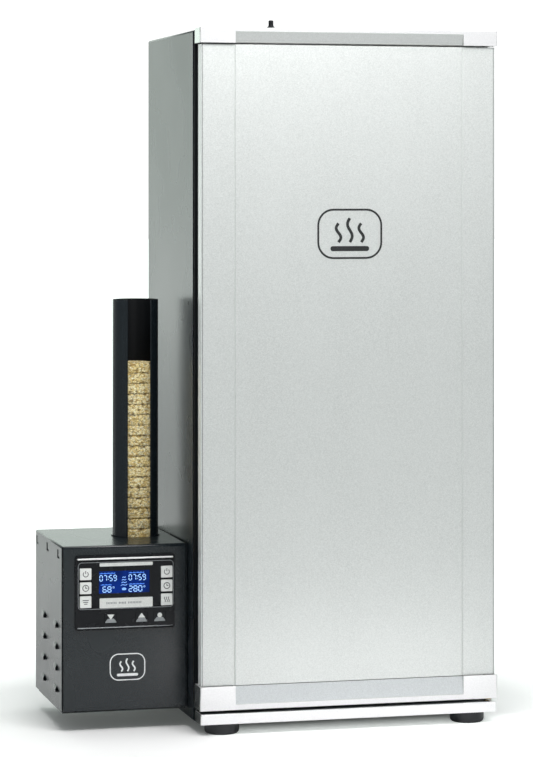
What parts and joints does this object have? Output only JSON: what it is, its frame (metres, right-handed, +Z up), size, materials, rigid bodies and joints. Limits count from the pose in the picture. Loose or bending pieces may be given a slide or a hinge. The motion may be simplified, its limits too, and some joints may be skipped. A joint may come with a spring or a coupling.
{
  "type": "electric cabinet smoker",
  "caption": "Upright insulated smoking cabinet with a hinged front door, wire racks and a side-hung digital smoke generator fed by a tube of pressed wood biscuits.",
  "frame": {"origin": "on the floor under the middle of the whole object's width and depth", "axes": "+X to the hinge side of the door, +Y to the back, +Z up; the door faces -Y"},
  "size_m": [0.6148, 0.365, 1.0015],
  "materials": {
    "black_coat": "satin charcoal powder coat",
    "silver_skin": "fine-grained silver sheet",
    "cap_plastic": "satin silver-white plastic",
    "stainless": "brushed stainless steel",
    "wire_chrome": "bright plated wire",
    "galvanised": "galvanised sheet",
    "zinc": "zinc plated",
    "brass": "turned",
    "black_plastic": "fine matte",
    "gloss_black": "gloss",
    "key_white": "satin",
    "lcd": "blue backlit display",
    "board_green": "solder mask",
    "rubber": "matte",
    "silicone": "matte",
    "wool": "mineral wool",
    "biscuit_wood": "pressed wood chips",
    "aluminium": "cast"
  },
  "bodies": {
    "cabinet": {"cabinet_shell": "black_coat", "back_panel": "galvanised", "base_panel": "black_coat", "plinth": "cap_plastic", "feet": "rubber", "front_frame": "black_plastic", "inner_liner": "stainless", "wall_insulation": "wool", "rack_guides": "stainless", "drip_tray": "stainless", "water_bowl": "stainless", "oven_heater": "zinc", "temperature_probe": "stainless", "terminal_box": "black_plastic", "hinge_brackets": "zinc", "hinge_pins": "brass", "vent_base": "stainless", "screws": "zinc", "generator_cover": "black_coat", "generator_front": "black_coat", "generator_chassis": "black_coat", "throat_gasket": "silicone", "control_bezel": "gloss_black", "control_face": "gloss_black", "lcd_display": "lcd", "control_board": "board_green", "feeder_tube": "black_coat", "wood_biscuits": "biscuit_wood", "feed_track": "stainless", "feed_motor": "galvanised", "burner_tray": "stainless", "burner_plate": "aluminium", "mains_inlet": "black_plastic", "jumper_cord": "rubber"},
    "door": {"door_skin": "silver_skin", "door_cap_top": "cap_plastic", "door_cap_bottom": "cap_plastic", "door_liner": "black_plastic", "door_insulation": "wool", "door_gasket": "silicone"},
    "vent": {"vent_damper": "stainless", "vent_knob": "black_plastic"},
    "pusher": {"pusher_plate": "stainless", "feed_biscuits": "biscuit_wood"},
    "pinion": {"drive_pinion": "brass"},
    "rack_1": {"wire_rack_1": "wire_chrome"},
    "rack_2": {"wire_rack_2": "wire_chrome"},
    "rack_3": {"wire_rack_3": "wire_chrome"},
    "rack_4": {"wire_rack_4": "wire_chrome"},
    "rack_5": {"wire_rack_5": "wire_chrome"},
    "rack_6": {"wire_rack_6": "wire_chrome"},
    "key_left_top_body": {"key_left_top": "key_white"},
    "key_left_middle_body": {"key_left_middle": "key_white"},
    "key_left_bottom_body": {"key_left_bottom": "key_white"},
    "key_right_top_body": {"key_right_top": "key_white"},
    "key_right_middle_body": {"key_right_middle": "key_white"},
    "key_right_bottom_body": {"key_right_bottom": "key_white"},
    "key_down_body": {"key_down": "black_plastic"},
    "key_up_body": {"key_up": "black_plastic"},
    "key_unit_body": {"key_unit": "black_plastic"}
  },
  "joints": [
    {"name": "door_hinge", "type": "hinge", "parent": "cabinet", "child": "door", "pos_m": [0.29895, -0.1625, 0.5], "axis": [0, 0, 1], "range_deg": [0, 120]},
    {"name": "vent_turn", "type": "hinge", "parent": "cabinet", "child": "vent", "pos_m": [0.09135, 0.0285, 0.978], "axis": [0, 0, 1], "range_deg": [0, 45]},
    {"name": "pusher_slide", "type": "slide", "parent": "cabinet", "child": "pusher", "axis": [1, 0, 0], "range_m": [0, 0.061]},
    {"name": "pinion_turn", "type": "hinge", "parent": "cabinet", "child": "pinion", "pos_m": [-0.21725, 0.0073, 0.131], "axis": [0, 1, 0], "range_deg": [0, 291.25]},
    {"name": "rack_1_slide", "type": "slide", "parent": "cabinet", "child": "rack_1", "axis": [0, -1, 0], "range_m": [0, 0.015]},
    {"name": "rack_2_slide", "type": "slide", "parent": "cabinet", "child": "rack_2", "axis": [0, -1, 0], "range_m": [0, 0.015]},
    {"name": "rack_3_slide", "type": "slide", "parent": "cabinet", "child": "rack_3", "axis": [0, -1, 0], "range_m": [0, 0.015]},
    {"name": "rack_4_slide", "type": "slide", "parent": "cabinet", "child": "rack_4", "axis": [0, -1, 0], "range_m": [0, 0.015]},
    {"name": "rack_5_slide", "type": "slide", "parent": "cabinet", "child": "rack_5", "axis": [0, -1, 0], "range_m": [0, 0.015]},
    {"name": "rack_6_slide", "type": "slide", "parent": "cabinet", "child": "rack_6", "axis": [0, -1, 0], "range_m": [0, 0.015]},
    {"name": "key_left_top_press", "type": "slide", "parent": "cabinet", "child": "key_left_top_body", "axis": [0, 1, 0], "range_m": [0, 0.0008]},
    {"name": "key_left_middle_press", "type": "slide", "parent": "cabinet", "child": "key_left_middle_body", "axis": [0, 1, 0], "range_m": [0, 0.0008]},
    {"name": "key_left_bottom_press", "type": "slide", "parent": "cabinet", "child": "key_left_bottom_body", "axis": [0, 1, 0], "range_m": [0, 0.0008]},
    {"name": "key_right_top_press", "type": "slide", "parent": "cabinet", "child": "key_right_top_body", "axis": [0, 1, 0], "range_m": [0, 0.0008]},
    {"name": "key_right_middle_press", "type": "slide", "parent": "cabinet", "child": "key_right_middle_body", "axis": [0, 1, 0], "range_m": [0, 0.0008]},
    {"name": "key_right_bottom_press", "type": "slide", "parent": "cabinet", "child": "key_right_bottom_body", "axis": [0, 1, 0], "range_m": [0, 0.0008]},
    {"name": "key_down_press", "type": "slide", "parent": "cabinet", "child": "key_down_body", "axis": [0, 1, 0], "range_m": [0, 0.0008]},
    {"name": "key_up_press", "type": "slide", "parent": "cabinet", "child": "key_up_body", "axis": [0, 1, 0], "range_m": [0, 0.0008]},
    {"name": "key_unit_press", "type": "slide", "parent": "cabinet", "child": "key_unit_body", "axis": [0, 1, 0], "range_m": [0, 0.0008]}
  ],
  "couplings": [
    {"joint": "pinion_turn", "follows": "pusher_slide", "rad_per_m": 83.333}
  ]
}
